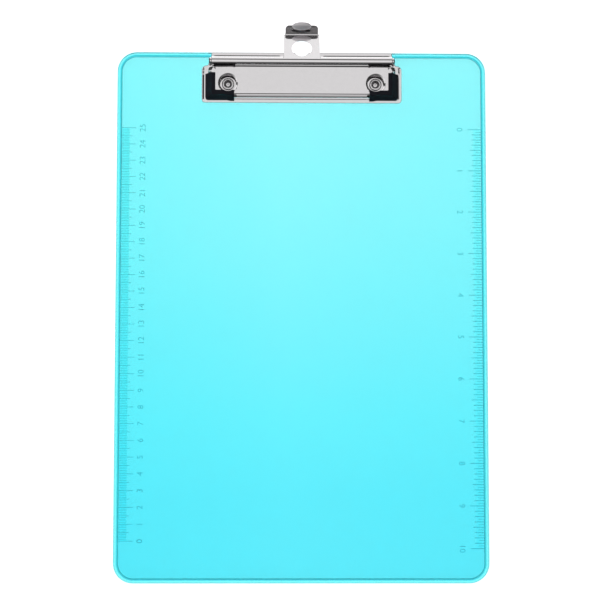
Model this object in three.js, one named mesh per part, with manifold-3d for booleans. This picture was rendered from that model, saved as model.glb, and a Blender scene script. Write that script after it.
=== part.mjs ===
// A clipboard with a low sprung clip, lying on its back: +X to the right, +Y towards the clip, +Z up.
// Millimetres. The origin is on the surface it lies on, under the middle of its bounding box.
import * as THREE from 'three';
import { mergeVertices } from 'three/addons/utils/BufferGeometryUtils.js';
import Module from 'manifold-3d';

// ---- Driving dimensions ----

const BOARD_WIDTH = 225;
const BOARD_LENGTH = 322;
const BOARD_CORNER = 12; // corner radius in plan
const SHEET = 2.4; // thickness of the board inside its rim
const RIM_WIDTH = 2.7;
const RIM_ABOVE = 0.8; // how far the rim stands over the writing face
const RIM_BELOW = 1.3; // how far it stands under the back, clear of the rivets
const RIM_EDGE = 0.4; // bevel along the rim

const STEEL = 0.8; // thickness of the clip's sheet steel
const TOUCH = 0.05; // gap between two pieces that lie flat on each other
const RUNNING = 0.3; // gap round shafts, rivets and pressed-on pieces

// The clip is laid out from the middle of the board's top edge, at the level of the writing face.
// It reaches down the board in -Y, and its lever stands out past the edge in +Y.
const BASE_HALF_WIDTH = 61.1;
const BASE_FRONT = -31.3;
const BASE_CORNER = 2.2;
const BASE_REAR_HALF_WIDTH = 55.6; // narrower part that carries the hinge
const BASE_NECK = -4; // where the outline starts to widen
const BASE_SHOULDER = -8.2; // where it reaches its full width
const SHOULDER_RADIUS = 3;
const BASE_RIM_WIDTH = 1.3;
const BASE_RIM_HEIGHT = 1.5;
const NOTCH_RADIUS = 5.2; // behind the hanging hole
const NOTCH_Y = 2.95;

const HINGE_Y = -6.1;
const HINGE_Z = 4.4;
const BARREL_RADIUS = 2.7; // outside of the rolled rear of the jaw
const BARREL_HALF_WIDTH = 55;
const BARREL_FROM = 150; // degrees from +Y, where the roll leaves the jaw's face
const BARREL_TO = -75; // and where it ends, under the pin
const PIN_RADIUS = 1;
const EAR_RADIUS = 2.1;
const EAR_FOOT = 2.5; // half the ear's length along the board at its foot
const PIN_HEAD_RADIUS = 1.6;
const PIN_HEAD = 0.6;

const JAW_TOP = 5.5; // height of the jaw's flat face
const JAW_TOP_HALF_WIDTH = 54.3;
const JAW_TOP_FRONT = -27;
const JAW_FOOT = 1.6; // height of the skirt's lower edge
const JAW_FOOT_HALF_WIDTH = 57.4;
const JAW_FOOT_FRONT = -29;
const JAW_REAR = -9.4; // rear end of the side skirts
const SLOT_INNER = 40.5; // slots that show the springs, from here
const SLOT_OUTER = 53.7; // to here
const SLOT_FRONT = -9.9;
const SLOT_REAR = -7.9;
const ACCESS_RADIUS = 5.5; // holes over the rivets

const LEVER_ANGLE = 42; // degrees round the barrel where the lever leaves it, from +Z
const LEVER_HALF_WIDTH = 11;
const LEVER_FOLD_Y = 11.75;
const LEVER_FOLD_Z = -2;
const LEVER_HOLE_RADIUS = 6.15;
const LEVER_HOLE_ALONG = 7.05; // from the lever's root
const TIP_ANGLE = 45; // the tip turns up from the level
const TIP_HALF_WIDTH = 10;
const TIP_LENGTH = 6.6;
const TIP_CORNER = 2;
const PAD_HALF_WIDTH = 5.9; // oval thumb pad on the tip
const PAD_HALF_LENGTH = 2.8;
const PAD_ALONG = 6;
const PAD_RISE = 1.3;

const GRIP_SKIN = 0.75; // rubber over and under the jaw's sheet
const GRIP_ARM = 6; // width of the arm along the side
const GRIP_ARM_REAR = -13.6;
const GRIP_FOOT = 17; // length of the foot along the front
const GRIP_FOOT_REAR = -24.4;
const GRIP_CORNER = 3;
const GRIP_BOTTOM = 0.9;

const RIVET_X = 45;
const RIVET_Y = -19.9;
const RIVET_HEAD_RADIUS = 3.75;
const RIVET_HEAD = 1.2;
const RIVET_SHANK_RADIUS = 2.7;
const RIVET_BORE_RADIUS = 2.2;
const RIVET_BORE_FLOOR = -1.6; // the bore is open above and stops here
const RIVET_CLINCH_RADIUS = 3.7;
const RIVET_CLINCH = 0.5;
const WASHER_RADIUS = 5;
const WASHER = 0.5;

const WIRE = 0.6; // spring wire
const COIL_RADIUS = 1.5; // to the middle of the wire
const COIL_INNER = 41.3; // each coil runs from here
const COIL_OUTER = 53.2; // to here
const COIL_TURNS = 11;
const SPRING_LEG = 8.5; // reach of the leg that lies on the base plate

// ---- Levels and places that follow from them ----

const BASE_TOP = TOUCH + STEEL;
const JAW_INSIDE = JAW_TOP - STEEL;
const BARREL_BORE = BARREL_RADIUS - STEEL;
const leverRoot = barrelPoint(90 - LEVER_ANGLE, BARREL_RADIUS);
const leverSlope = Math.atan2(LEVER_FOLD_Z - leverRoot.y, LEVER_FOLD_Y - leverRoot.x);
const tipSlope = THREE.MathUtils.degToRad(TIP_ANGLE);

// ---- Solids ----

const wasm = await Module();
wasm.setup();

function solidOf(geometry) {
  const bare = geometry.index ? geometry.toNonIndexed() : geometry.clone();
  bare.deleteAttribute('normal');
  bare.deleteAttribute('uv');
  const merged = mergeVertices(bare, 1e-4);
  const mesh = new wasm.Mesh({
    numProp: 3,
    vertProperties: merged.attributes.position.array,
    triVerts: new Uint32Array(merged.index.array),
  });
  return new wasm.Manifold(mesh);
}

function geometryOf(solid) {
  const { vertProperties, triVerts } = solid.getMesh();
  const geometry = new THREE.BufferGeometry();
  geometry.setAttribute('position', new THREE.BufferAttribute(vertProperties, 3));
  geometry.setIndex(new THREE.BufferAttribute(triVerts, 1));
  geometry.computeVertexNormals();
  return geometry;
}

function extrude(shape, depth, options = {}) {
  return new THREE.ExtrudeGeometry(shape, { depth, bevelEnabled: false, curveSegments: 12, ...options });
}

// A plan outline, standing from one height to another.
function upright(shape, bottom, top) {
  return solidOf(extrude(shape, top - bottom).translate(0, 0, bottom));
}

// A section in Y and Z, drawn out along X.
function alongX(shape, from, to) {
  const turn = new THREE.Matrix4().makeBasis(
    new THREE.Vector3(0, 1, 0),
    new THREE.Vector3(0, 0, 1),
    new THREE.Vector3(1, 0, 0),
  );
  return solidOf(extrude(shape, to - from).applyMatrix4(turn).translate(from, 0, 0));
}

// A section in X and Z, drawn out along Y.
function alongY(shape, from, to) {
  return solidOf(extrude(shape, to - from).rotateX(Math.PI / 2).translate(0, to, 0));
}

function disc(radius, x, y, bottom, top) {
  const cylinder = new THREE.CylinderGeometry(radius, radius, top - bottom, 40);
  return solidOf(cylinder.rotateX(Math.PI / 2).translate(x, y, (bottom + top) / 2));
}

function block(x0, x1, y0, y1, z0, z1) {
  const box = new THREE.BoxGeometry(x1 - x0, y1 - y0, z1 - z0);
  return solidOf(box.translate((x0 + x1) / 2, (y0 + y1) / 2, (z0 + z1) / 2));
}

function polygon(points) {
  return new THREE.Shape(points.map(([x, y]) => new THREE.Vector2(x, y)));
}

function roundedRectangle(x0, x1, y0, y1, radius) {
  const shape = new THREE.Shape();
  shape.absarc(x1 - radius, y1 - radius, radius, 0, Math.PI / 2);
  shape.absarc(x0 + radius, y1 - radius, radius, Math.PI / 2, Math.PI);
  shape.absarc(x0 + radius, y0 + radius, radius, Math.PI, 1.5 * Math.PI);
  shape.absarc(x1 - radius, y0 + radius, radius, 1.5 * Math.PI, 2 * Math.PI);
  return shape;
}

// A point round the hinge, at an angle in degrees from +Y towards +Z.
function barrelPoint(degrees, radius) {
  const angle = THREE.MathUtils.degToRad(degrees);
  return new THREE.Vector2(HINGE_Y + radius * Math.cos(angle), HINGE_Z + radius * Math.sin(angle));
}

// A closed profile of radius and height, turned about the Z axis through x, y.
function turned(points, x, y) {
  const profile = points.map(([radius, z]) => new THREE.Vector2(radius, z));
  return new THREE.LatheGeometry(profile, 40).rotateX(Math.PI / 2).translate(x, y, 0);
}

function metal(colour, roughness) {
  return new THREE.MeshStandardMaterial({ color: colour, roughness, metalness: 1 });
}

function named(name, geometry, material) {
  const mesh = new THREE.Mesh(geometry, material);
  mesh.name = name;
  return mesh;
}

// ---- Board ----

function board() {
  const half = BOARD_WIDTH / 2;
  const outline = roundedRectangle(-half, half, -BOARD_LENGTH, 0, BOARD_CORNER);
  const sheet = upright(outline, -SHEET, 0);

  const inset = half - RIM_EDGE;
  const rimOutline = roundedRectangle(-inset, inset, -BOARD_LENGTH + RIM_EDGE, -RIM_EDGE,
    BOARD_CORNER - RIM_EDGE);
  const inner = half - RIM_WIDTH + RIM_EDGE;
  const rimInside = BOARD_LENGTH - RIM_WIDTH + RIM_EDGE;
  rimOutline.holes.push(roundedRectangle(-inner, inner, -rimInside, -RIM_WIDTH + RIM_EDGE,
    BOARD_CORNER - RIM_WIDTH + RIM_EDGE));
  const rimHeight = SHEET + RIM_ABOVE + RIM_BELOW;
  const bevel = { bevelEnabled: true, bevelThickness: RIM_EDGE, bevelSize: RIM_EDGE, bevelSegments: 1 };
  const rimGeometry = extrude(rimOutline, rimHeight - 2 * RIM_EDGE, bevel);
  const rim = solidOf(rimGeometry.translate(0, 0, -SHEET - RIM_BELOW + RIM_EDGE));

  // The rim stops on both sides of the clip, whose base plate lies flat up to the edge.
  const clear = BASE_REAR_HALF_WIDTH + 1.5;
  return sheet
    .add(rim)
    .subtract(block(-clear, clear, -2 * RIM_WIDTH, 1, 0, 2))
    .subtract(disc(NOTCH_RADIUS, 0, NOTCH_Y, -2 * SHEET, SHEET))
    .subtract(disc(NOTCH_RADIUS + RIM_WIDTH, 0, NOTCH_Y, -2 * SHEET, -SHEET))
    .subtract(rivetHoles());
}

function rivetHoles() {
  const radius = RIVET_SHANK_RADIUS + RUNNING;
  const reach = 2 * SHEET;
  return disc(radius, -RIVET_X, RIVET_Y, -reach, reach).add(disc(radius, RIVET_X, RIVET_Y, -reach, reach));
}

// ---- Clip base: riveted plate with low side rims and two ears for the pin ----

function basePlate() {
  const wide = BASE_HALF_WIDTH;
  const rear = BASE_REAR_HALF_WIDTH;
  const outline = new THREE.Shape();
  outline.moveTo(rear - 0.6, 0);
  outline.lineTo(-rear + 0.6, 0);
  outline.lineTo(-rear, BASE_NECK);
  outline.lineTo(-rear - 1.8, BASE_SHOULDER);
  outline.lineTo(-wide + SHOULDER_RADIUS, BASE_SHOULDER);
  outline.absarc(-wide + SHOULDER_RADIUS, BASE_SHOULDER - SHOULDER_RADIUS, SHOULDER_RADIUS,
    Math.PI / 2, Math.PI);
  outline.absarc(-wide + BASE_CORNER, BASE_FRONT + BASE_CORNER, BASE_CORNER, Math.PI, 1.5 * Math.PI);
  outline.absarc(wide - BASE_CORNER, BASE_FRONT + BASE_CORNER, BASE_CORNER, 1.5 * Math.PI, 2 * Math.PI);
  outline.absarc(wide - SHOULDER_RADIUS, BASE_SHOULDER - SHOULDER_RADIUS, SHOULDER_RADIUS, 0, Math.PI / 2);
  outline.lineTo(rear + 1.8, BASE_SHOULDER);
  outline.lineTo(rear, BASE_NECK);

  let plate = upright(outline, TOUCH, BASE_TOP);
  for (const side of [-1, 1]) plate = plate.add(sideRim(side)).add(ear(side));
  return plate
    .subtract(disc(NOTCH_RADIUS, 0, NOTCH_Y, -SHEET, SHEET))
    .subtract(rivetHoles());
}

function sideRim(side) {
  const outer = BASE_HALF_WIDTH;
  const inner = outer - BASE_RIM_WIDTH;
  const section = polygon([
    [side * inner, TOUCH],
    [side * outer, TOUCH],
    [side * outer, BASE_TOP + BASE_RIM_HEIGHT],
    [side * (outer - STEEL / 2), BASE_TOP + BASE_RIM_HEIGHT],
    [side * inner, BASE_TOP],
  ]);
  return alongY(section, BASE_FRONT + BASE_CORNER, BASE_SHOULDER - SHOULDER_RADIUS);
}

function ear(side) {
  const shape = new THREE.Shape();
  shape.moveTo(HINGE_Y - EAR_FOOT, BASE_TOP - STEEL / 2);
  shape.lineTo(HINGE_Y + EAR_FOOT, BASE_TOP - STEEL / 2);
  shape.absarc(HINGE_Y, HINGE_Z, EAR_RADIUS, 0, Math.PI);
  const hole = new THREE.Path();
  hole.absarc(HINGE_Y, HINGE_Z, PIN_RADIUS + RUNNING, 0, 2 * Math.PI);
  shape.holes.push(hole);
  const inside = BARREL_HALF_WIDTH + RUNNING;
  const near = side > 0 ? inside : -inside - STEEL;
  return alongX(shape, near, near + STEEL);
}

// ---- Jaw: one pressed sheet with its skirt, rolled barrel and lever ----

// The space under a skin of the jaw's skirt and face, set in from the outside by a thickness.
function pan(inset, bottom, rear) {
  const rise = JAW_TOP - JAW_FOOT;
  const frontRun = JAW_TOP_FRONT - JAW_FOOT_FRONT;
  const sideRun = JAW_FOOT_HALF_WIDTH - JAW_TOP_HALF_WIDTH;
  const frontShift = inset * Math.hypot(frontRun, rise) / rise;
  const sideShift = inset * Math.hypot(sideRun, rise) / rise;
  const top = JAW_TOP - inset;
  const frontAt = (z) => JAW_FOOT_FRONT + frontShift + frontRun * (z - JAW_FOOT) / rise;
  const sideAt = (z) => JAW_FOOT_HALF_WIDTH - sideShift - sideRun * (z - JAW_FOOT) / rise;
  const lengthwise = polygon([
    [frontAt(bottom), bottom],
    [rear, bottom],
    [rear, top],
    [frontAt(top), top],
  ]);
  const crosswise = polygon([
    [-sideAt(bottom), bottom],
    [sideAt(bottom), bottom],
    [sideAt(top), top],
    [-sideAt(top), top],
  ]);
  const reach = 2 * BASE_HALF_WIDTH;
  return alongX(lengthwise, -reach, reach).intersect(alongY(crosswise, -reach, reach));
}

// A band of the barrel between two radii, from one angle down to another.
function barrelBand(outer, inner, from, to) {
  const start = THREE.MathUtils.degToRad(from);
  const end = THREE.MathUtils.degToRad(to);
  const shape = new THREE.Shape();
  shape.absarc(HINGE_Y, HINGE_Z, outer, start, end, true);
  shape.absarc(HINGE_Y, HINGE_Z, inner, end, start, false);
  return shape;
}

function jaw() {
  const width = BARREL_HALF_WIDTH;
  const face = pan(0, JAW_FOOT, JAW_REAR).subtract(pan(STEEL, 0, 0));
  const bridge = block(-JAW_TOP_HALF_WIDTH, JAW_TOP_HALF_WIDTH, JAW_REAR - 1, HINGE_Y - BARREL_BORE - 0.3,
    JAW_INSIDE, JAW_TOP);
  const roll = alongX(barrelBand(BARREL_RADIUS, BARREL_BORE, BARREL_FROM, BARREL_TO), -width, width);

  // Behind the lever the roll stops at the top, where the lever's sheet goes on from it.
  const window = alongX(
    barrelBand(BARREL_RADIUS + 1, BARREL_BORE - 0.2, 90 - LEVER_ANGLE - 12, BARREL_TO - 10),
    -LEVER_HALF_WIDTH - 0.5, LEVER_HALF_WIDTH + 0.5);

  let sheet = face.add(bridge).add(roll.subtract(window)).add(lever());
  for (const side of [-1, 1]) {
    sheet = sheet.add(cheek(side));
    sheet = sheet.subtract(disc(ACCESS_RADIUS, side * RIVET_X, RIVET_Y, JAW_INSIDE - 1, JAW_TOP + 1));
    sheet = sheet.subtract(block(
      Math.min(side * SLOT_INNER, side * SLOT_OUTER), Math.max(side * SLOT_INNER, side * SLOT_OUTER),
      SLOT_FRONT, SLOT_REAR, JAW_INSIDE - STEEL, JAW_TOP + BARREL_RADIUS));
  }
  return sheet;
}

// The end of the barrel, which turns on the pin.
function cheek(side) {
  const shape = new THREE.Shape();
  shape.absarc(HINGE_Y, HINGE_Z, BARREL_RADIUS, 0, 2 * Math.PI);
  const hole = new THREE.Path();
  hole.absarc(HINGE_Y, HINGE_Z, PIN_RADIUS + RUNNING, 0, 2 * Math.PI);
  shape.holes.push(hole);
  const near = side > 0 ? BARREL_HALF_WIDTH - STEEL : -BARREL_HALF_WIDTH;
  return alongX(shape, near, near + STEEL);
}

function lever() {
  const along = new THREE.Vector2(Math.cos(leverSlope), Math.sin(leverSlope));
  const under = new THREE.Vector2(along.y, -along.x).multiplyScalar(STEEL);
  const fold = new THREE.Vector2(LEVER_FOLD_Y, LEVER_FOLD_Z);
  const root = leverRoot.clone().addScaledVector(along, -0.9);
  const plateSection = new THREE.Shape([
    root.clone().add(under),
    fold.clone().add(under),
    fold,
    root,
  ]);
  const plate = alongX(plateSection, -LEVER_HALF_WIDTH, LEVER_HALF_WIDTH);

  const bore = new THREE.CylinderGeometry(LEVER_HOLE_RADIUS, LEVER_HOLE_RADIUS, 6 * STEEL, 48)
    .rotateX(Math.PI / 2 + leverSlope)
    .translate(0, leverRoot.x + LEVER_HOLE_ALONG * along.x, leverRoot.y + LEVER_HOLE_ALONG * along.y);

  return plate.add(tip()).subtract(solidOf(bore));
}

// The lever's turned-up tip, with an oval pad for the thumb that stands over its edge.
function tip() {
  const plate = roundedRectangle(-TIP_HALF_WIDTH, TIP_HALF_WIDTH, -TIP_CORNER, TIP_LENGTH, TIP_CORNER);
  const pad = new THREE.Shape();
  pad.absellipse(0, PAD_ALONG, PAD_HALF_WIDTH, PAD_HALF_LENGTH, 0, 2 * Math.PI);
  const dome = new THREE.SphereGeometry(1, 24, 16)
    .rotateX(Math.PI / 2)
    .scale(PAD_HALF_WIDTH, PAD_HALF_LENGTH, PAD_RISE)
    .translate(0, PAD_ALONG, 0);
  const flat = upright(plate, -STEEL, 0)
    .subtract(block(-2 * TIP_HALF_WIDTH, 2 * TIP_HALF_WIDTH, -2 * TIP_CORNER, -0.3, -2 * STEEL, STEEL))
    .add(upright(pad, -STEEL, 0))
    .add(solidOf(dome).subtract(block(-TIP_HALF_WIDTH, TIP_HALF_WIDTH, 0, 3 * TIP_LENGTH, -3, -STEEL)));
  const tilted = geometryOf(flat).rotateX(tipSlope).translate(0, LEVER_FOLD_Y, LEVER_FOLD_Z);
  return solidOf(tilted);
}

// ---- Rubber grips, pressed over the jaw's front corners ----

function grip(side) {
  const outer = JAW_FOOT_HALF_WIDTH + STEEL + GRIP_SKIN;
  const front = JAW_FOOT_FRONT - STEEL - GRIP_SKIN;
  const plan = new THREE.Shape();
  const armInside = outer - GRIP_ARM - STEEL;
  const footInside = outer - GRIP_FOOT - STEEL;
  plan.moveTo(side * outer, GRIP_ARM_REAR);
  plan.lineTo(side * armInside, GRIP_ARM_REAR);
  plan.lineTo(side * armInside, GRIP_FOOT_REAR);
  plan.lineTo(side * footInside, GRIP_FOOT_REAR);
  plan.lineTo(side * footInside, front);
  plan.lineTo(side * (outer - GRIP_CORNER), front);
  plan.quadraticCurveTo(side * outer, front, side * outer, front + GRIP_CORNER);
  const skin = GRIP_SKIN + RUNNING / 2;
  const outside = pan(-skin, GRIP_BOTTOM, JAW_REAR);
  const inside = pan(STEEL + skin, 0, 0);
  const sleeve = pan(-RUNNING / 2, JAW_FOOT - RUNNING / 2, JAW_REAR).subtract(pan(STEEL + RUNNING / 2, 0, 0));
  return upright(plan, 0, 2 * JAW_TOP)
    .intersect(outside.subtract(inside))
    .subtract(sleeve)
    .subtract(disc(ACCESS_RADIUS - 0.3, side * RIVET_X, RIVET_Y, 0, 2 * JAW_TOP));
}

// ---- Pin, springs and rivets ----

function hingePin() {
  const half = BARREL_HALF_WIDTH + RUNNING + STEEL + TOUCH;
  const end = half + PIN_HEAD;
  const profile = [
    [0, -end],
    [PIN_HEAD_RADIUS * 0.7, -end],
    [PIN_HEAD_RADIUS, -half - PIN_HEAD / 2],
    [PIN_HEAD_RADIUS, -half],
    [PIN_RADIUS, -half],
    [PIN_RADIUS, half],
    [PIN_HEAD_RADIUS, half],
    [PIN_HEAD_RADIUS, half + PIN_HEAD / 2],
    [PIN_HEAD_RADIUS * 0.7, end],
    [0, end],
  ];
  const points = profile.map(([radius, along]) => new THREE.Vector2(radius, along));
  return new THREE.LatheGeometry(points, 24).rotateZ(-Math.PI / 2).translate(0, HINGE_Y, HINGE_Z);
}

// A coil round the pin that runs out into a leg, which lies forward on the base plate.
class SpringPath extends THREE.Curve {
  constructor(side) {
    super();
    this.side = side;
    this.coilShare = 0.9;
  }

  getPoint(t, target = new THREE.Vector3()) {
    const coil = Math.min(t / this.coilShare, 1);
    const angle = -Math.PI / 2 - 2 * Math.PI * COIL_TURNS * (1 - coil);
    const x = COIL_OUTER + (COIL_INNER - COIL_OUTER) * coil;
    target.set(this.side * x, HINGE_Y + COIL_RADIUS * Math.cos(angle), HINGE_Z + COIL_RADIUS * Math.sin(angle));
    const leg = Math.max(t - this.coilShare, 0) / (1 - this.coilShare);
    target.y -= SPRING_LEG * leg;
    target.z -= (HINGE_Z - COIL_RADIUS - BASE_TOP - WIRE) * leg;
    return target;
  }
}

function spring(side) {
  const section = new THREE.Shape();
  section.absarc(0, 0, WIRE / 2, 0, 2 * Math.PI);
  return new THREE.ExtrudeGeometry(section, {
    extrudePath: new SpringPath(side),
    steps: COIL_TURNS * 12,
    curveSegments: 3,
  });
}

function rivet(side) {
  const seat = BASE_TOP + TOUCH;
  const foot = -SHEET - TOUCH - WASHER - TOUCH;
  const profile = [
    [0, foot - RIVET_CLINCH],
    [RIVET_CLINCH_RADIUS * 0.8, foot - RIVET_CLINCH],
    [RIVET_CLINCH_RADIUS, foot - RIVET_CLINCH * 0.6],
    [RIVET_CLINCH_RADIUS, foot],
    [RIVET_SHANK_RADIUS, foot],
    [RIVET_SHANK_RADIUS, seat],
    [RIVET_HEAD_RADIUS, seat],
    [RIVET_HEAD_RADIUS, seat + RIVET_HEAD * 0.3],
    [RIVET_HEAD_RADIUS * 0.85, seat + RIVET_HEAD * 0.85],
    [RIVET_BORE_RADIUS * 1.2, seat + RIVET_HEAD],
    [RIVET_BORE_RADIUS, seat + RIVET_HEAD * 0.7],
    [RIVET_BORE_RADIUS, RIVET_BORE_FLOOR],
    [0, RIVET_BORE_FLOOR],
  ];
  return turned(profile, side * RIVET_X, RIVET_Y);
}

function washer(side) {
  const top = -SHEET - TOUCH;
  const bore = RIVET_SHANK_RADIUS + RUNNING;
  const profile = [
    [bore, top - WASHER],
    [WASHER_RADIUS, top - WASHER],
    [WASHER_RADIUS, top],
    [bore, top],
    [bore, top - WASHER],
  ];
  return turned(profile, side * RIVET_X, RIVET_Y);
}

// ---- The assembly ----

const polystyrene = new THREE.MeshStandardMaterial({ color: 0x6feffb, roughness: 0.25, metalness: 0 });
const rubber = new THREE.MeshStandardMaterial({ color: 0x25252f, roughness: 0.7, metalness: 0 });
const chrome = metal(0xd4ced2, 0.08);
const zinc = metal(0xb4b0b2, 0.3);
const springWire = metal(0x6c6a6c, 0.35);

const clip = new THREE.Group();
clip.add(named('clip_base_plate', geometryOf(basePlate()), chrome.clone()));
clip.add(named('clip_jaw', geometryOf(jaw()), chrome.clone()));
clip.add(named('hinge_pin', hingePin(), zinc.clone()));
for (const [label, side] of [['left', -1], ['right', 1]]) {
  clip.add(named(`torsion_spring_${label}`, spring(side), springWire.clone()));
  clip.add(named(`corner_grip_${label}`, geometryOf(grip(side)), rubber.clone()));
  clip.add(named(`rivet_${label}`, rivet(side), zinc.clone()));
  clip.add(named(`rivet_washer_${label}`, washer(side), zinc.clone()));
}

const clipboard = new THREE.Group();
clipboard.add(named('board', geometryOf(board()), polystyrene));
clipboard.add(clip);

// Everything above is laid out from the top edge: the whole is moved over the origin.
const extent = new THREE.Box3().setFromObject(clipboard);
clipboard.position.set(0, -(extent.min.y + extent.max.y) / 2, -extent.min.z);

export default clipboard;
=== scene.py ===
"""A clipboard with a low sprung clip, lying on its back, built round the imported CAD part.

The pieces are in millimetres, laid out like the clip itself: X to the right, Y from the middle of
the board's top edge, positive past it, and Z up from the writing face. CLIP_TO_ROW takes them to
the row frame, in metres, where the materials, the floor and the camera are.
"""

import math

import bmesh
import bpy
from mathutils import Matrix, Vector


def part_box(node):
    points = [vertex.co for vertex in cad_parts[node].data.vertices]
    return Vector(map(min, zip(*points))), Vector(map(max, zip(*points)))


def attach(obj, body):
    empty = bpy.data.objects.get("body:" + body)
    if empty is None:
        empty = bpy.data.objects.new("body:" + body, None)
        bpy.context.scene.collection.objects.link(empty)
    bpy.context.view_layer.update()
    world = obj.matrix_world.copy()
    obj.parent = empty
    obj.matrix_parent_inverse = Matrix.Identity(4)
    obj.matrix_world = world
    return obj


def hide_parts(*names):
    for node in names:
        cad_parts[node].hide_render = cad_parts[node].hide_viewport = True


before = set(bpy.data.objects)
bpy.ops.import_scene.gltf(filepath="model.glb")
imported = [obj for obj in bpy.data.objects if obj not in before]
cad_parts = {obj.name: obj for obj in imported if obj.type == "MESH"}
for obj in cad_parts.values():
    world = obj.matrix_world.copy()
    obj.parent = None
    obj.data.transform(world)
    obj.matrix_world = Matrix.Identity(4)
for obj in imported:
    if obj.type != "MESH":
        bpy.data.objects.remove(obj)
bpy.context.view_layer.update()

# ---- Sizes, in millimetres ----

MM = 0.001
INCH = 25.4
TOUCH = 0.05  # the gap between two pieces that lie flat on each other

BOARD_WIDTH, BOARD_LENGTH, BOARD_CORNER = 225.0, 322.0, 12.0
SHEET, RIM_ABOVE, RIM_BELOW = 2.4, 0.8, 1.3
NOTCH_RADIUS, NOTCH_Y, NOTCH_RELIEF = 5.2, 2.95, 7.9
RIM_GAP, RIM_GAP_FRONT = 57.1, -3.4  # the rim is open behind the clip: half its width, and its front
RIVET_X, RIVET_Y, RIVET_HOLE, RIVET_HEAD = 45.0, -19.9, 3.0, 1.2

# Each scale has an edge of the board in X, its 0 in Y, and a number of whole units.
CM_EDGE, CM_FIRST, CM_COUNT = -BOARD_WIDTH / 2, -BOARD_LENGTH + 25.1, 25
INCH_EDGE, INCH_FIRST, INCH_COUNT = BOARD_WIDTH / 2, -47.3, 10
MARK_HEIGHT, MARK_FOOT = 0.06, 0.004  # over the writing face
MARK_START = 3.1  # in from the board's edge
NUMERAL_HEIGHT = 3.6

STEEL = 0.8
BARREL_RADIUS, BARREL_HALF_WIDTH = 2.7, 55.0
HINGE_Y, HINGE_Z = -6.1, 4.4
PIN_RADIUS, PIN_HOLE, PIN_HEAD = 1.0, 1.3, 0.6
EAR_RADIUS, EAR_HALF_FOOT, EAR_NEAR = 2.1, 2.5, BARREL_HALF_WIDTH + 0.3
COIL_TURNS, COIL_RADIUS, COIL_OUTER, COIL_INNER = 11, 1.5, 53.2, 41.3
SPRING_WIRE, SPRING_LEG = 0.6, 8.5

JAW_TOP, JAW_FOOT = 5.5, 1.6
JAW_TOP_HALF_WIDTH, JAW_TOP_FRONT, JAW_REAR = 54.3, -27.0, -10.2
JAW_REAR_CORNER, JAW_FRONT_CORNER = 2.2, 1.6
SKIRT_SIDE, SKIRT_FRONT = 3.1, 2.0  # how far the skirt runs out, to the sides and the front
SLOT_INNER, SLOT_OUTER, SLOT_FRONT, SLOT_REAR = 40.5, 53.7, -10.4, -7.9
FACE_END = (JAW_REAR + 0.02, JAW_TOP)  # in Y and Z, where the groove before the barrel starts
FACE_END_HALF_WIDTH = SLOT_OUTER + 0.4
ACCESS_RADIUS, DISH_RADIUS = 5.0, 6.15

LEVER_HALF_WIDTH = 11.0
LEVER_FROM = 62  # degrees round the barrel where the lever leaves it
LEVER_FOLD, FOLD_RADIUS = (11.75, -2.0), 0.9
LEVER_HOLE_RADIUS, LEVER_HOLE = 6.15, (1.95, 3.13)  # the hole's middle, in Y and Z
TIP_HALF_WIDTH, TIP_LENGTH, TIP_CORNER, TIP_ANGLE = 10.0, 6.6, 2.4, 45.0
PAD_HALF_WIDTH, PAD_HALF_LENGTH, PAD_ALONG = 5.9, 2.8, 6.0

BASE_THICK = 0.85
BASE_HALF_WIDTH, BASE_REAR_HALF_WIDTH = 61.1, 55.6
BASE_FRONT, BASE_SHOULDER, BASE_RIM = -31.3, -8.2, 1.5

CLIP = "jaw"
BASE = "board_and_base"

board_low, board_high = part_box("board")
writing_face = board_high.z - RIM_ABOVE * MM
CLIP_TO_ROW = Matrix.Translation((0, board_high.y, writing_face)) @ Matrix.Scale(MM, 4)


# ---- Mesh helpers ----


def eased(t):
    """0 to 1 as t goes from 0 to 1, level at both ends."""
    t = min(max(t, 0), 1)
    return t * t * (3 - 2 * t)


def circle(radius, steps):
    """Points (x, y) round the origin."""
    angles = (2 * math.pi * k / steps for k in range(steps))
    return [(radius * math.cos(a), radius * math.sin(a)) for a in angles]


def lofted(rings):
    """A closed mesh over rings of points that all have the same count."""
    bm = bmesh.new()
    rows = [[bm.verts.new(p) for p in ring] for ring in rings]
    for a, b in zip(rows, rows[1:]):
        for i in range(len(a)):
            j = (i + 1) % len(a)
            bm.faces.new((a[i], a[j], b[j], b[i]))
    bm.faces.new(rows[0][::-1])
    bm.faces.new(rows[-1])
    return bm


def joined(*meshes):
    """One mesh that holds them all. The others are used up."""
    first = meshes[0]
    for other in meshes[1:]:
        temporary = bpy.data.meshes.new("joining")
        other.to_mesh(temporary)
        other.free()
        first.from_mesh(temporary)
        bpy.data.meshes.remove(temporary)
    return first


def moved(bm, matrix):
    bm.transform(matrix)
    return bm


def rounded_outline(corners, inset, segments):
    """Points round a polygon of (x, y, radius) corners, anticlockwise, set in by a distance."""
    lines = []
    count = len(corners)
    for i, (x, y, _) in enumerate(corners):
        x1, y1, _ = corners[(i + 1) % count]
        along = Vector((x1 - x, y1 - y)).normalized()
        inward = Vector((-along.y, along.x))
        lines.append((Vector((x, y)) + inward * inset, along))
    points = []
    for i in range(count):
        (p, u), (q, v) = lines[i - 1], lines[i]
        turn = u.x * v.y - u.y * v.x
        corner = p + u * (((q - p).x * v.y - (q - p).y * v.x) / turn)
        radius = max(corners[i][2] - inset if turn > 0 else corners[i][2] + inset, 0.02)
        angle = math.atan2(turn, u.dot(v))
        back = radius * math.tan(abs(angle) / 2)
        side = 1 if angle > 0 else -1
        centre = corner - u * back + Vector((-u.y, u.x)) * radius * side
        start = math.atan2(u.y, u.x) - side * math.pi / 2
        for k in range(segments + 1):
            a = start + angle * k / segments
            points.append(centre + radius * Vector((math.cos(a), math.sin(a))))
    return points


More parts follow.
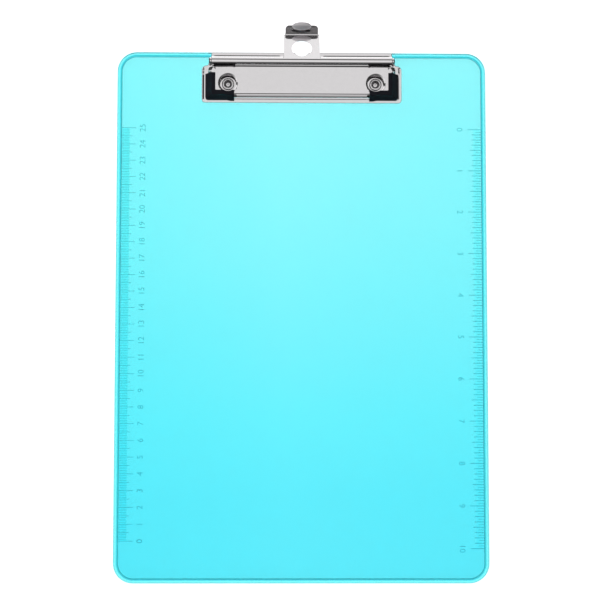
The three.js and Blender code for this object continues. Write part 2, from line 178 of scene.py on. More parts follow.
def turned(profile, steps=64):
    """A closed profile of (radius, z) turned about Z. A point on the axis closes the end."""
    bm = bmesh.new()
    rows = []
    for radius, z in profile:
        if radius < 1e-6:
            rows.append([bm.verts.new((0, 0, z))])
        else:
            rows.append([bm.verts.new((x, y, z)) for x, y in circle(radius, steps)])
    pairs = list(zip(rows, rows[1:]))
    if len(rows[0]) > 1:
        pairs.append((rows[-1], rows[0]))
    for a, b in pairs:
        for i in range(steps):
            j = (i + 1) % steps
            if len(a) == 1:
                bm.faces.new((a[0], b[j], b[i]))
            elif len(b) == 1:
                bm.faces.new((a[i], a[j], b[0]))
            else:
                bm.faces.new((a[i], a[j], b[j], b[i]))
    return bm


def tube(path, radius, sides=12):
    """A round wire along a path, closed at both ends."""
    points = [Vector(p) for p in path]
    rings = []
    across = (points[1] - points[0]).normalized().orthogonal().normalized()
    for i, p in enumerate(points):
        along = (points[min(i + 1, len(points) - 1)] - points[max(i - 1, 0)]).normalized()
        across = (across - along * across.dot(along)).normalized()
        other = along.cross(across)
        rings.append([p + u * across + v * other for u, v in circle(radius, sides)])
    return lofted(rings)


def cylinder(radius, low, high, x=0.0, y=0.0):
    bm = turned([(0, low), (radius, low), (radius, high), (0, high)])
    return moved(bm, Matrix.Translation((x, y, 0)))


def block(x0, x1, y0, y1, z0, z1):
    bm = bmesh.new()
    size = Matrix.Diagonal((x1 - x0, y1 - y0, z1 - z0, 1))
    place = Matrix.Translation(((x0 + x1) / 2, (y0 + y1) / 2, (z0 + z1) / 2))
    bmesh.ops.create_cube(bm, size=1, matrix=place @ size)
    return bm


def working_object(bm, recalc=True):
    """An object that holds a mesh while Blender works on it. The mesh is used up."""
    if recalc:
        bmesh.ops.recalc_face_normals(bm, faces=bm.faces)
    mesh = bpy.data.meshes.new("working")
    bm.to_mesh(mesh)
    bm.free()
    o = bpy.data.objects.new("working", mesh)
    bpy.context.scene.collection.objects.link(o)
    return o


def remove_working(o):
    mesh = o.data
    bpy.data.objects.remove(o)
    bpy.data.meshes.remove(mesh)


def through(bm, *modifiers, recalc=True):
    """The mesh after Blender's modifiers, each given as (type, settings)."""
    o = working_object(bm, recalc)
    for kind, settings in modifiers:
        modifier = o.modifiers.new(kind.lower(), kind)
        for name, value in settings.items():
            setattr(modifier, name, value)
    made = bmesh.new()
    made.from_object(o, bpy.context.evaluated_depsgraph_get())
    remove_working(o)
    return made


def cut(bm, *cutters):
    """The mesh less its cutters, which don't touch each other."""
    tool = working_object(joined(*cutters))
    settings = {"operation": "DIFFERENCE", "solver": "EXACT", "object": tool}
    made = through(bm, ("BOOLEAN", settings))
    remove_working(tool)
    return made


def edged(bm, width, angle=50):
    """The mesh with its edges bevelled where they turn by more than an angle."""
    settings = {
        "width": width,
        "segments": 2,
        "limit_method": "ANGLE",
        "angle_limit": math.radians(angle),
        "use_clamp_overlap": True,
    }
    return through(bm, ("BEVEL", settings))


def piece(name, bm, material, body, nodes=(), sharp=35, weighted=False):
    """Puts a mesh in the row frame, as a piece that rides on a body."""
    bmesh.ops.recalc_face_normals(bm, faces=bm.faces)
    bm.transform(CLIP_TO_ROW)
    mesh = bpy.data.meshes.new(name)
    bm.to_mesh(mesh)
    bm.free()
    mesh.materials.append(material)
    mesh.polygons.foreach_set("use_smooth", [True] * len(mesh.polygons))
    mesh.set_sharp_from_angle(angle=math.radians(sharp))
    o = bpy.data.objects.new(name, mesh)
    bpy.context.scene.collection.objects.link(o)
    if weighted:
        normals = o.modifiers.new("flat_faces_stay_flat", "WEIGHTED_NORMAL")
        normals.keep_sharp = True
        normals.weight = 60
    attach(o, body)
    if nodes:
        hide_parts(*nodes)
    return o


# ---- Node helpers ----


class Nodes:
    """Short calls for a node tree."""

    def __init__(self, tree):
        self.tree = tree
        tree.nodes.clear()

    def add(self, kind, inputs=(), **settings):
        node = self.tree.nodes.new(kind)
        for name, value in settings.items():
            setattr(node, name, value)
        for name, value in dict(inputs).items():
            self.put(node.inputs[name], value)
        return node

    def put(self, socket, value):
        if isinstance(value, bpy.types.NodeSocket):
            self.tree.links.new(value, socket)
        else:
            socket.default_value = value

    def math(self, operation, *values):
        node = self.tree.nodes.new("ShaderNodeMath")
        node.operation = operation
        for socket, value in zip(node.inputs, values):
            self.put(socket, value)
        return node.outputs[0]

    def plus(self, a, b):
        return self.math("ADD", a, b)

    def minus(self, a, b):
        return self.math("SUBTRACT", a, b)

    def times(self, a, b):
        return self.math("MULTIPLY", a, b)

    def distance(self, x, y):
        return self.math("SQRT", self.plus(self.times(x, x), self.times(y, y)))

    def ramp(self, value, stops):
        node = self.tree.nodes.new("ShaderNodeValToRGB")
        elements = node.color_ramp.elements
        while len(elements) < len(stops):
            elements.new(0.5)
        for element, (position, colour) in zip(elements, stops):
            element.position = position
            element.color = (*colour, 1)
        self.put(node.inputs["Fac"], value)
        return node.outputs["Color"]

    def separate(self, vector):
        node = self.add("ShaderNodeSeparateXYZ", {"Vector": vector})
        return node.outputs

    def noise(self, vector, scale, detail=3.0, roughness=0.5):
        inputs = {"Vector": vector, "Scale": scale, "Detail": detail, "Roughness": roughness}
        return self.add("ShaderNodeTexNoise", inputs).outputs["Fac"]

    def map_range(self, value, a, b, to_a, to_b):
        inputs = {"Value": value, "From Min": a, "From Max": b, "To Min": to_a, "To Max": to_b}
        return self.add("ShaderNodeMapRange", inputs, clamp=True).outputs["Result"]

    def mix(self, factor, a, b, blend="MIX"):
        node = self.tree.nodes.new("ShaderNodeMix")
        node.data_type = "RGBA"
        node.blend_type = blend
        colours = [s for s in node.inputs if s.type == "RGBA"]
        self.put(node.inputs["Factor"], factor)
        for socket, colour in zip(colours, (a, b)):
            self.put(socket, colour if isinstance(colour, bpy.types.NodeSocket) else (*colour, 1))
        return next(s for s in node.outputs if s.type == "RGBA")

    def bump(self, height, strength, distance, normal=None):
        inputs = {"Height": height, "Strength": strength, "Distance": distance}
        if normal:
            inputs["Normal"] = normal
        return self.add("ShaderNodeBump", inputs).outputs["Normal"]


def new_material(name):
    """A material with a plain shader: itself, its nodes, the shader, and the place on the object."""
    material = bpy.data.materials.new(name)
    material.use_nodes = True
    nodes = Nodes(material.node_tree)
    shader = nodes.add("ShaderNodeBsdfPrincipled")
    output = nodes.add("ShaderNodeOutputMaterial")
    nodes.tree.links.new(shader.outputs[0], output.inputs["Surface"])
    place = nodes.add("ShaderNodeTexCoord").outputs["Object"]
    return material, nodes, shader, place


# ---- Materials ----


def edge_inset(nodes, x, y):
    """How far a point is from the board's outline, in millimetres, for its material."""
    radius = BOARD_CORNER * MM
    middle = (board_low.y + board_high.y) / 2
    across = nodes.minus(nodes.math("ABSOLUTE", x), BOARD_WIDTH / 2 * MM - radius)
    from_middle = nodes.math("ABSOLUTE", nodes.minus(y, middle))
    along = nodes.minus(from_middle, BOARD_LENGTH / 2 * MM - radius)
    outside = nodes.distance(nodes.math("MAXIMUM", across, 0.0), nodes.math("MAXIMUM", along, 0.0))
    inside = nodes.math("MINIMUM", nodes.math("MAXIMUM", across, along), 0.0)
    return nodes.times(nodes.minus(radius, nodes.plus(outside, inside)), 1 / MM)


def scale_strip(nodes, x, y, edge, inner, first, last):
    """1 where a scale's fine marks run together into a strip, and 0 elsewhere."""
    start, stop, soft = 3.0 * MM, inner * MM, 0.3 * MM
    inward = 1 if edge < 0 else -1
    from_edge = nodes.plus(nodes.times(x, inward), abs(edge) * MM)
    outer = nodes.map_range(from_edge, start, start + soft, 0, 1)
    near = nodes.map_range(from_edge, stop - soft, stop + soft, 1, 0)
    ends = [board_high.y + v * MM for v in (first, last)]
    low = nodes.map_range(y, min(ends) - soft, min(ends) + soft, 0, 1)
    high = nodes.map_range(y, max(ends) - soft, max(ends) + soft, 1, 0)
    return nodes.times(nodes.times(outer, near), nodes.times(low, high))


def sheet_colour(nodes, x, y, length, place):
    """The sheet's colour, with painted shade: deeper towards the foot and at the sides. It is deeper too
    under the scales, where their fine marks run together.
    """
    # Painted shade: the sheet grows deeper towards the board's foot.
    body = nodes.ramp(length, [
        (0.0, (0.115, 0.82, 0.92)),
        (0.16, (0.125, 0.835, 0.93)),
        (0.31, (0.155, 0.865, 0.94)),
        (0.44, (0.2, 0.875, 0.94)),
        (0.59, (0.255, 0.895, 0.94)),
        (0.72, (0.295, 0.91, 0.945)),
        (0.86, (0.335, 0.92, 0.95)),
        (1.0, (0.365, 0.93, 0.95)),
    ])
    half = BOARD_WIDTH / 2 * MM
    # Painted shade: darker at both sides, more on the left.
    across = nodes.ramp(nodes.map_range(x, -half, half, 0.0, 1.0), [
        (0.0, (0.78, 0.985, 0.99)),
        (0.45, (1.0, 1.0, 1.0)),
        (1.0, (0.9, 0.985, 0.99)),
    ])
    body = nodes.mix(1.0, body, across, "MULTIPLY")
    cloud = nodes.map_range(nodes.noise(place, 14.0, 2.0), 0.3, 0.7, 0.97, 1.0)
    shade = nodes.add("ShaderNodeCombineXYZ", {"X": cloud, "Y": 1.0, "Z": 1.0}).outputs[0]
    body = nodes.mix(1.0, body, shade, "MULTIPLY")
    for edge, inner, first, last, strip in (
        (CM_EDGE, 7.8, CM_FIRST, CM_FIRST + 10 * CM_COUNT, (0.62, 1.0, 1.0)),
        (INCH_EDGE, 7.6, INCH_FIRST, INCH_FIRST - INCH * INCH_COUNT, (0.78, 1.0, 1.0)),
    ):
        under = scale_strip(nodes, x, y, edge, inner, first, last)
        body = nodes.mix(under, body, nodes.mix(1.0, body, strip, "MULTIPLY"))
    return body


def rim_colour(nodes, inset, length):
    """Painted light along the rim, by the distance from the outline: painted reflection and highlight on
    the bead, painted shade over its inner step, and a dark groove of painted shade at the board's foot.
    """
    reach = 4.0
    # From the outline in: a greyer line and a lighter band are painted reflection and highlight on the
    # bead, and the dark line from 1.9 to 2.8 mm in is painted shade over the inner step.
    stops = [
        (0.0, (0.27, 0.76, 0.82)),
        (0.5, (0.27, 0.76, 0.82)),
        (0.9, (0.24, 0.98, 1.0)),
        (1.5, (0.22, 0.96, 1.0)),
        (1.9, (0.11, 0.86, 0.97)),
        (2.2, (0.01, 0.52, 0.62)),
        (2.8, (0.01, 0.52, 0.62)),
    ]
    lines = nodes.ramp(nodes.times(inset, 1 / reach), [(v / reach, colour) for v, colour in stops])
    # Painted shade: a dark groove along the rim's inner edge at the board's foot.
    foot = nodes.map_range(length, 0.0, 0.012, 1.0, 0.0)
    foot_groove_shade = nodes.times(foot, nodes.map_range(inset, 1.7, 2.1, 0.0, 1.0))
    return nodes.mix(foot_groove_shade, lines, (0.0, 0.26, 0.36))


def acrylic(name, tint):
    """Clear tinted plastic, coloured by its place on the board, with painted shade across the sheet and
    painted highlight and shade along the rim.
    """
    material, nodes, shader, place = new_material(name)
    x, y, _ = nodes.separate(place)
    length = nodes.map_range(y, board_low.y, board_high.y, 0.0, 1.0)
    inset = edge_inset(nodes, x, y)
    body, lines = sheet_colour(nodes, x, y, length, place), rim_colour(nodes, inset, length)
    # Near the outline the rim's painted highlight and shade take over from the sheet's colour.
    colour = nodes.mix(nodes.map_range(inset, 2.8, 3.05, 1.0, 0.0), body, lines)
    nodes.put(shader.inputs["Base Color"], nodes.mix(1.0, colour, tint, "MULTIPLY"))
    shader.inputs["Transmission Weight"].default_value = 0.82
    shader.inputs["IOR"].default_value = 1.5
    fine = nodes.noise(place, 900.0, 4.0, 0.6)
    nodes.put(shader.inputs["Roughness"], nodes.map_range(fine, 0.3, 0.7, 0.06, 0.12))
    swell = nodes.noise(place, 18.0, 1.0)
    nodes.put(shader.inputs["Normal"], nodes.bump(swell, 0.05, 0.0004))
    return material


def steel(name, colour, roughness):
    """Plated sheet steel: faint streaks from the rolls, and slight waves from the press."""
    material, nodes, shader, place = new_material(name)
    shader.inputs["Metallic"].default_value = 1.0
    along_rolls = (60.0, 900.0, 900.0)
    stretched = nodes.add("ShaderNodeVectorMath", {0: place, 1: along_rolls}, operation="MULTIPLY")
    grain = nodes.noise(stretched.outputs[0], 1.0, 4.0, 0.6)
    spots = nodes.noise(place, 600.0, 5.0, 0.65)
    darker = tuple(c * 0.93 for c in colour)
    tone = nodes.map_range(spots, 0.35, 0.75, 0.0, 0.5)
    nodes.put(shader.inputs["Base Color"], nodes.mix(tone, colour, darker))
    nodes.put(shader.inputs["Roughness"], nodes.map_range(grain, 0.3, 0.75, roughness, roughness + 0.06))
    waves = nodes.bump(nodes.noise(place, 45.0, 1.0), 0.02, 0.001)
    nodes.put(shader.inputs["Normal"], nodes.bump(grain, 0.009, 0.0002, waves))
    return material


def rivet_metal(name, colour):
    """Plated steel with painted shade: it goes dark down inside a rivet's bore."""
    material, nodes, shader, place = new_material(name)
    shader.inputs["Metallic"].default_value = 1.0
    x, y, _ = nodes.separate(place)
    across = nodes.minus(nodes.math("ABSOLUTE", x), RIVET_X * MM)
    along = nodes.minus(y, board_high.y + RIVET_Y * MM)
    radius = nodes.times(nodes.distance(across, along), 1 / MM)
    # Painted shade: the bore's wall, between about 1.3 and 2.3 mm out, is darkened to 0.3 of the plate's
    # colour.
    wall = nodes.map_range(radius, 1.15, 1.4, 0.0, 1.0)
    bore = nodes.times(wall, nodes.map_range(radius, 2.25, 2.4, 1.0, 0.0))
    spots = nodes.noise(place, 700.0, 4.0, 0.6)
    tone = nodes.map_range(spots, 0.35, 0.75, 0.0, 1.0)
    plain = nodes.mix(tone, colour, tuple(c * 0.88 for c in colour))
    nodes.put(shader.inputs["Base Color"], nodes.mix(bore, plain, tuple(c * 0.3 for c in colour)))
    nodes.put(shader.inputs["Roughness"], nodes.map_range(spots, 0.3, 0.75, 0.16, 0.26))
    nodes.put(shader.inputs["Normal"], nodes.bump(spots, 0.06, 0.0002))
    return material


def rubber(name):
    """Moulded black rubber with a fine grain, greyer where it has been rubbed."""
    material, nodes, shader, place = new_material(name)
    grain = nodes.noise(place, 2200.0, 3.0, 0.6)
    dust = nodes.noise(place, 160.0, 4.0, 0.6)
    worn = nodes.map_range(dust, 0.45, 0.8, 0.0, 0.5)
    nodes.put(shader.inputs["Base Color"], nodes.mix(worn, (0.012, 0.012, 0.019), (0.02, 0.02, 0.028)))
    nodes.put(shader.inputs["Roughness"], nodes.map_range(grain, 0.3, 0.7, 0.42, 0.6))
    shader.inputs["Specular IOR Level"].default_value = 0.12
    nodes.put(shader.inputs["Normal"], nodes.bump(grain, 0.25, 0.0002))
    return material


# ---- Board ----


def board_corners():
    """(x, y, radius) at each corner, anticlockwise."""
    half, radius = BOARD_WIDTH / 2, BOARD_CORNER
    right = [(half, -BOARD_LENGTH, radius), (half, 0, radius)]
    return right + [(-x, y, r) for x, y, r in reversed(right)]


def board_mesh():
    """The sheet and its rim, from the middle of the back round the edge to the writing face."""
    under, low, high = -SHEET, -SHEET - RIM_BELOW, RIM_ABOVE
    section = [
        (3.6, under), (3.1, under), (2.8, under - 0.05), (2.65, under - 0.2), (2.55, under - 0.6),
        (2.45, low + 0.35), (2.3, low + 0.1), (2.05, low), (0.75, low), (0.4, low + 0.08),
        (0.12, low + 0.35), (0.0, low + 0.75), (0.0, high - 0.65), (0.1, high - 0.3),
        (0.35, high - 0.07), (0.7, high), (1.95, high), (2.2, high - 0.06), (2.4, high - 0.25),
        (2.5, 0.3), (2.6, 0.12), (2.8, 0.03), (3.1, 0.0), (3.6, 0.0),
    ]
    rings = []
    for inset, z in section:
        outline = rounded_outline(board_corners(), inset, 14)
        rings.append([(p.x, p.y, z) for p in outline])
    bm = lofted(rings)
    reach = 3 * SHEET
    return cut(
        bm,
        cylinder(NOTCH_RADIUS, -reach, reach, 0, NOTCH_Y),
        cylinder(RIVET_HOLE, -reach, reach, -RIVET_X, RIVET_Y),
        cylinder(RIVET_HOLE, -reach, reach, RIVET_X, RIVET_Y),
    )


def make_board(material):
    """The sheet, with room for the hanging hook under its notch and for the clip in its rim."""
    bm = board_mesh()
    bm = cut(bm, cylinder(NOTCH_RELIEF, -2 * SHEET, -SHEET, 0, NOTCH_Y))
    bm = cut(bm, block(-RIM_GAP, RIM_GAP, RIM_GAP_FRONT, 1, 0.0, 2))
    return piece("board_sheet", bm, material, BASE, ["board"], weighted=True)


# ---- Rulers ----


def raised_bar(x0, x1, y, width):
    """A moulded line along X, with sloping sides."""
    foot, top = width / 2, width / 4
    low = [(x0, y - foot), (x1, y - foot), (x1, y + foot), (x0, y + foot)]
    high = [(x0, y - top), (x1, y - top), (x1, y + top), (x0, y + top)]
    rings = [[(x, v, MARK_FOOT) for x, v in low], [(x, v, MARK_HEIGHT) for x, v in high]]
    return lofted(rings)


def numeral(text, matrix):
    """A number in plain figures, as a low raised mesh, the middle of its foot on the matrix's origin."""
    curve = bpy.data.curves.new("numeral", "FONT")
    curve.body = text
    curve.align_x = "CENTER"
    curve.size = NUMERAL_HEIGHT / 0.72  # a figure is this much of the type's size
    curve.extrude = MARK_HEIGHT / 2
    curve.resolution_u = 3
    o = bpy.data.objects.new("numeral", curve)
    bpy.context.scene.collection.objects.link(o)
    drawn = o.evaluated_get(bpy.context.evaluated_depsgraph_get())
    mesh = bpy.data.meshes.new_from_object(drawn)
    bm = bmesh.new()
    bm.from_mesh(mesh)
    bmesh.ops.remove_doubles(bm, verts=bm.verts, dist=1e-4)
    bpy.data.objects.remove(o)
    bpy.data.curves.remove(curve)
    bpy.data.meshes.remove(mesh)
    return moved(bm, matrix)


def is_shortest(i, reaches):
    """Whether a tick is one of the shortest ones, which are thinner."""
    return all(i % every for every, _ in reaches[:-1])


def tick_bars(edge, inward, first, step, count, reaches, width):
    """Bars along a scale: reaches gives (every so many ticks, how far in from the edge it ends)."""
    bars = []
    for i in range(count + 1):
        reach = next(r for every, r in reaches if i % every == 0)
        ends = sorted((edge + inward * MARK_START, edge + inward * reach))
        thin = 0.65 if is_shortest(i, reaches) else 1.0
        bars.append(raised_bar(*ends, first + i * step, width * thin))
    return bars


def numerals(x, first, step, count, turn):
    """The numbers of a scale, 0 first, each turned to be read from its own side."""
    made = []
    for n in range(count + 1):
        place = Matrix.Translation((x, first + step * n, MARK_HEIGHT / 2 + MARK_FOOT))
        made.append(numeral(str(n), place @ Matrix.Rotation(turn, 4, "Z")))
    return made


def make_rulers(material):
    reaches = [(10, 11.7), (5, 9.4), (1, 7.8)]
    bars = tick_bars(CM_EDGE, 1, CM_FIRST, 1.0, CM_COUNT * 10, reaches, 0.34)
    bars += numerals(CM_EDGE + 17.4, CM_FIRST, 10, CM_COUNT, math.pi / 2)
    piece("ruler_centimetres", joined(*bars), material, BASE)
    reaches = [(16, 11.2), (8, 9.8), (2, 8.7), (1, 6.5)]
    bars = tick_bars(INCH_EDGE, -1, INCH_FIRST, -INCH / 16, INCH_COUNT * 16, reaches, 0.42)
    bars += numerals(INCH_EDGE - 17.8, INCH_FIRST, -INCH, INCH_COUNT, -math.pi / 2)
    piece("ruler_inches", joined(*bars), material, BASE)


# ---- Clip base ----


def base_corners():
    """(x, y, radius) at each corner of the clip's base plate, anticlockwise."""
    wide, rear = BASE_HALF_WIDTH, BASE_REAR_HALF_WIDTH
    right = [
        (wide, BASE_FRONT, 2.2),
        (wide, BASE_SHOULDER, 3.0),
        (rear + 1.8, BASE_SHOULDER, 0.8),
        (rear, -4.0, 1.0),
        (rear - 0.6, 0, 0.5),
    ]
    return right + [(-x, y, r) for x, y, r in reversed(right)]


def side_share(x, y):
    """1 along the plate's sides, where its rim stands up, and 0 round the rest."""
    inner = min((abs(x) - 57.8) / 0.8, 1)
    front = min((y - BASE_FRONT - 1.0) / 3.0, 1)
    rear = min((-9.6 - y) / 2.6, 1)
    return eased(max(inner, 0) * max(min(front, rear), 0))


def base_plate_mesh():
    """The plate. Its section has an inset, a height, and the rim's share on the left and the right."""
    section = [
        (3.2, 0.05, 0, 0), (0.3, 0.05, 0, 0), (0.08, 0.15, 0, 0), (0.0, 0.35, 0, 0),
        (0.0, 0.55, 0.8, 0.8), (0.06, 0.7, 0.95, 0.95), (0.2, 0.82, 1, 1), (0.35, 0.85, 1, 1),
        (0.5, 0.85, 0.96, 0.97), (0.7, 0.85, 0.8, 0.86), (1.4, 0.85, 0.08, 0.47),
        (1.6, 0.85, 0.02, 0.36), (2.1, 0.85, 0, 0.08), (2.25, 0.85, 0, 0.02), (2.4, 0.85, 0, 0),
        (3.2, 0.85, 0, 0),
    ]
    rings = []
    for inset, z, left, right in section:
        points = rounded_outline(base_corners(), inset, 8)
        rises = [BASE_RIM * (left if p.x < 0 else right) * side_share(p.x, p.y) for p in points]
        rings.append([(p.x, p.y, z + rise) for p, rise in zip(points, rises)])
    bm = lofted(rings)
    return cut(
        bm,
        cylinder(NOTCH_RADIUS, -2, 2, 0, NOTCH_Y),
        cylinder(RIVET_HOLE, -2, 3, -RIVET_X, RIVET_Y),
        cylinder(RIVET_HOLE, -2, 3, RIVET_X, RIVET_Y),
    )


def along_hinge(x=0.0):
    """Takes a mesh turned about Z to the hinge's axis."""
    return Matrix.Translation((x, HINGE_Y, HINGE_Z)) @ Matrix.Rotation(math.pi / 2, 4, "Y")


def ear_mesh(side):
    """An upright ear with a round top and the hole for the pin."""
    foot = 0.4  # inside the plate
    outline = [(HINGE_Y - EAR_HALF_FOOT, foot), (HINGE_Y + EAR_HALF_FOOT, foot)]
    for k in range(25):
        a = math.pi * k / 24
        outline.append((HINGE_Y + EAR_RADIUS * math.cos(a), HINGE_Z + EAR_RADIUS * math.sin(a)))
    rings = [[(side * x, y, z) for y, z in outline] for x in (EAR_NEAR, EAR_NEAR + STEEL)]
    drill = moved(cylinder(PIN_HOLE, -2 * EAR_NEAR, 2 * EAR_NEAR), along_hinge())
    return edged(cut(lofted(rings), drill), 0.15)


def rear_ridge(side):
    """The low ridge pressed along the plate's rear edge, beside the lever."""
    low = BASE_THICK - 0.2  # inside the plate
    profile = [(-3.4, 0.0), (-3.25, 0.06), (-3.1, 0.1), (-2.95, 0.11), (-2.15, 0.012), (-1.95, 0.0)]
    rings = []
    for x, share in ((12.6, 0.0), (13.4, 0.5), (14.4, 1.0), (52.4, 1.0), (53.4, 0.5), (54.2, 0.0)):
        top = [(side * x, y, BASE_THICK + 0.01 + z * share) for y, z in profile]
        foot = [(side * x, profile[-1][0], low), (side * x, profile[0][0], low)]
        rings.append(top + foot)
    return lofted(rings)


def make_base(material):
    bm = joined(base_plate_mesh(), ear_mesh(-1), ear_mesh(1), rear_ridge(-1), rear_ridge(1))
    return piece("clip_base", bm, material, BASE, ["clip_base_plate"], weighted=True)


# ---- Jaw ----


def between(p, q, r, w, t):
    """The number at t on a smooth curve from q to r that comes from p and goes on to w."""
    square, cube = 2 * p - 5 * q + 4 * r - w, 3 * q - p - 3 * r + w
    return 0.5 * (2 * q + (r - p) * t + square * t * t + cube * t ** 3)


def smooth_curve(points, steps):
    """Points on a curve that runs smoothly through the given ones."""
    ends = [points[0], *points, points[-1]]
    made = [points[0]]
    for a, b, c, d in zip(ends, ends[1:], ends[2:], ends[3:]):
        for k in range(1, steps + 1):
            made.append(tuple(between(*four, k / steps) for four in zip(a, b, c, d)))
    return made


def bezier(a, b, c, d, t):
    """The point at t on a curve from a to d that leaves towards b and arrives from c."""
    s = 1 - t
    return tuple(
        s * s * s * p + 3 * s * s * t * q + 3 * s * t * t * r + t * t * t * w
        for p, q, r, w in zip(a, b, c, d)
    )


# The jaw's front lip: a slight bead, a sloping shoulder and an upright wall. Each pair is the share
# of the way from the flat face's edge to the skirt's foot, and the height from the face.
LIP_SECTION = [
    (-0.30, 0.0), (-0.16, 0.045), (-0.02, 0.1), (0.07, 0.075), (0.18, 0.0), (0.36, -0.17),
    (0.56, -0.37), (0.76, -0.6), (0.86, -0.73), (0.9, -0.95), (0.915, -1.4), (0.94, -2.1),
    (0.97, -3.1), (1.0, -3.9),
]
LIP_END, LIP_FADE = 42.0, 2.0  # the lip goes out to here, then fades into a plain slope
LIP_UNDER_GRIP = 0.72  # how much of it there is inside the grips' ends
GRIP_END, GRIP_END_FADE = 40.3, 0.8  # where the grips' ends hide its change to that
LIP_COLUMNS = [44.0, 43.0, 42.0, 40.3, 39.9, 39.5, 30.0, 19.0, 16.0, 13.0, 10.0, 7.0, 4.0, 0.0]
SIDE_FADE = [(-12.8, 1.0), (-13.2, 0.75), (-13.6, 0.45), (-16.0, 0.15)]  # in Y, and the lip's share


def jaw_ring(out, height):
    """A line round the jaw's skirt from its right rear corner to its left one.

    It lies some share of the way out, at the lip's height there. Towards the front corners and
    along the sides the skirt's plain slope takes over from the lip.
    """
    side_out, front_out = SKIRT_SIDE * out, SKIRT_FRONT * out
    slope = (JAW_FOOT - JAW_TOP) * max(out, 0.0)
    side_height = min(height, 0.0)
    reach = JAW_REAR_CORNER + side_out
    x, y = JAW_TOP_HALF_WIDTH - JAW_REAR_CORNER, JAW_REAR - JAW_REAR_CORNER
    turn = math.radians(75 - 57 * max(out, 0.0))
    right = []
    for k in range(9):
        a = turn * (1 - k / 8)
        right.append((x + reach * math.cos(a), y + reach * math.sin(a), JAW_TOP + side_height))
    for back, share in SIDE_FADE:
        right.append((x + reach, back, JAW_TOP + slope + (side_height - slope) * share))
    radius = JAW_FRONT_CORNER
    x, y = JAW_TOP_HALF_WIDTH - radius, JAW_TOP_FRONT + radius
    for k in range(9):
        a = -math.pi / 2 * k / 8
        place = (x + (radius + side_out) * math.cos(a), y + (radius + front_out) * math.sin(a))
        right.append((*place, JAW_TOP + slope))
    for x in LIP_COLUMNS:
        share = LIP_UNDER_GRIP * eased((LIP_END + LIP_FADE - x) / LIP_FADE)
        share += (1 - LIP_UNDER_GRIP) * eased((GRIP_END - x) / GRIP_END_FADE)
        right.append((x, JAW_TOP_FRONT - front_out, JAW_TOP + slope + (height - slope) * share))
    return right + [(-x, y, z) for x, y, z in reversed(right[:-1])]


def barrel_point(degrees):
    """(y, z) on the barrel's outside, from +Y upwards."""
    a = math.radians(degrees)
    return HINGE_Y + BARREL_RADIUS * math.cos(a), HINGE_Z + BARREL_RADIUS * math.sin(a)


def barrel_section():
    """(y, z, half width) from behind the flat face up the groove and over the barrel's top."""
    rows = []
    end = barrel_point(150)
    level, steep = (FACE_END[0] + 0.9, JAW_TOP), (end[0] - 0.31, end[1] - 0.7)
    for k in range(1, 13):
        t = k / 12
        width = FACE_END_HALF_WIDTH + (BARREL_HALF_WIDTH - FACE_END_HALF_WIDTH) * t
        rows.append((*bezier(FACE_END, level, steep, end, t), width))
    for degrees in range(144, LEVER_FROM - 1, -6):
        rows.append((*barrel_point(degrees), BARREL_HALF_WIDTH))
    return rows


def lever_slope():
    """Where the lever leaves the barrel, in Y and Z, and the angle of its plate."""
    root = barrel_point(LEVER_FROM)
    return root, math.atan2(LEVER_FOLD[1] - root[1], LEVER_FOLD[0] - root[0])


def lever_section():
    """(y, z, half width) from the end of the lever's plate, round its fold and up its tip."""
    _, slope = lever_slope()
    tip = math.radians(TIP_ANGLE)
    turn = tip - slope
    back = FOLD_RADIUS * math.tan(turn / 2)
    start = (LEVER_FOLD[0] - back * math.cos(slope), LEVER_FOLD[1] - back * math.sin(slope))
    y, z = start[0] - FOLD_RADIUS * math.sin(slope), start[1] + FOLD_RADIUS * math.cos(slope)
    rows = []
    for k in range(9):
        a = slope + turn * k / 8
        width = LEVER_HALF_WIDTH + (TIP_HALF_WIDTH - LEVER_HALF_WIDTH) * (k / 8) ** 2
        rows.append((y + FOLD_RADIUS * math.sin(a), z - FOLD_RADIUS * math.cos(a), width))
    corner_start = TIP_LENGTH - TIP_CORNER
    steps = [0.8, 2.0, 3.2]
    steps += [corner_start + TIP_CORNER * math.sin(math.radians(a)) for a in range(0, 91, 10)]
    for along in steps:
        over = max(along - corner_start, 0)
        width = TIP_HALF_WIDTH - TIP_CORNER + math.sqrt(max(TIP_CORNER ** 2 - over * over, 0))
        y, z = LEVER_FOLD[0] + along * math.cos(tip), LEVER_FOLD[1] + along * math.sin(tip)
        rows.append((y, z, width))
    return rows


def pierced(bm, outline, circles):
    """A flat face inside an outline, with round holes: each circle is a list of vertices."""
    edges = []
    for loop in (outline, *circles):
        for a, b in zip(loop, loop[1:] + loop[:1]):
            edges.append(bm.edges.get((a, b)) or bm.edges.new((a, b)))
    bmesh.ops.triangle_fill(bm, edges=edges, use_beauty=True)


def ring_of(bm, radius, matrix):
    """A circle of vertices."""
    return [bm.verts.new(matrix @ Vector((x, y, 0))) for x, y in circle(radius, 72)]


def band(bm, a, b, left_out=()):
    """Faces between two rows of vertices, less some columns."""
    for i in range(len(a) - 1):
        if i not in left_out:
            bm.faces.new((a[i], b[i], b[i + 1], a[i + 1]))


# The barrel's columns between its ends: the slots over the springs, then the sides of the lever.
BARREL_COLUMNS = [-SLOT_OUTER, -SLOT_INNER, -LEVER_HALF_WIDTH - 0.5, -LEVER_HALF_WIDTH]
BARREL_COLUMNS += [-x for x in reversed(BARREL_COLUMNS)]
SLOT_COLUMNS = (1, 7)  # in a row with both ends, where each slot starts
LEFT_OF_LEVER, LEVER, RIGHT_OF_LEVER = slice(0, 4), slice(4, 6), slice(6, 10)


